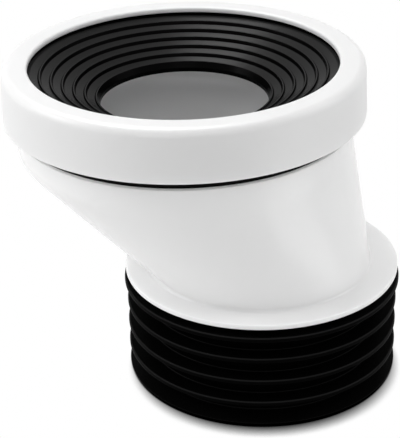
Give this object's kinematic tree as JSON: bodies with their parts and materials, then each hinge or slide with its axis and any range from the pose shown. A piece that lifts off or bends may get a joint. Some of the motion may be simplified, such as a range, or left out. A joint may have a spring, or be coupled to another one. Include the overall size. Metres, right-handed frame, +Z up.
{
  "type": "toilet pan connector",
  "caption": "Offset toilet pan connector: moulded body with a retaining collar, a stepped rubber inlet seal and a finned rubber outlet seal that pushes into a soil pipe.",
  "frame": {"origin": "centre of the spigot's end, on the outlet axis, where the connector stands", "axes": "+Z up along the outlet axis towards the inlet; the inlet axis is parallel to it, 34 mm away towards -X; the XZ plane is the mirror plane"},
  "size_m": [0.1644, 0.147, 0.1283],
  "materials": {
    "white_plastic": "satin white moulded polypropylene",
    "collar_plastic": "satin white moulded polypropylene",
    "inlet_rubber": "black moulded rubber with a soft sheen",
    "outlet_rubber": "black moulded rubber with a soft sheen"
  },
  "bodies": {
    "root": {"body": "white_plastic", "collar": "collar_plastic", "inlet_seal": "inlet_rubber", "outlet_seal": "outlet_rubber"}
  },
  "joints": []
}
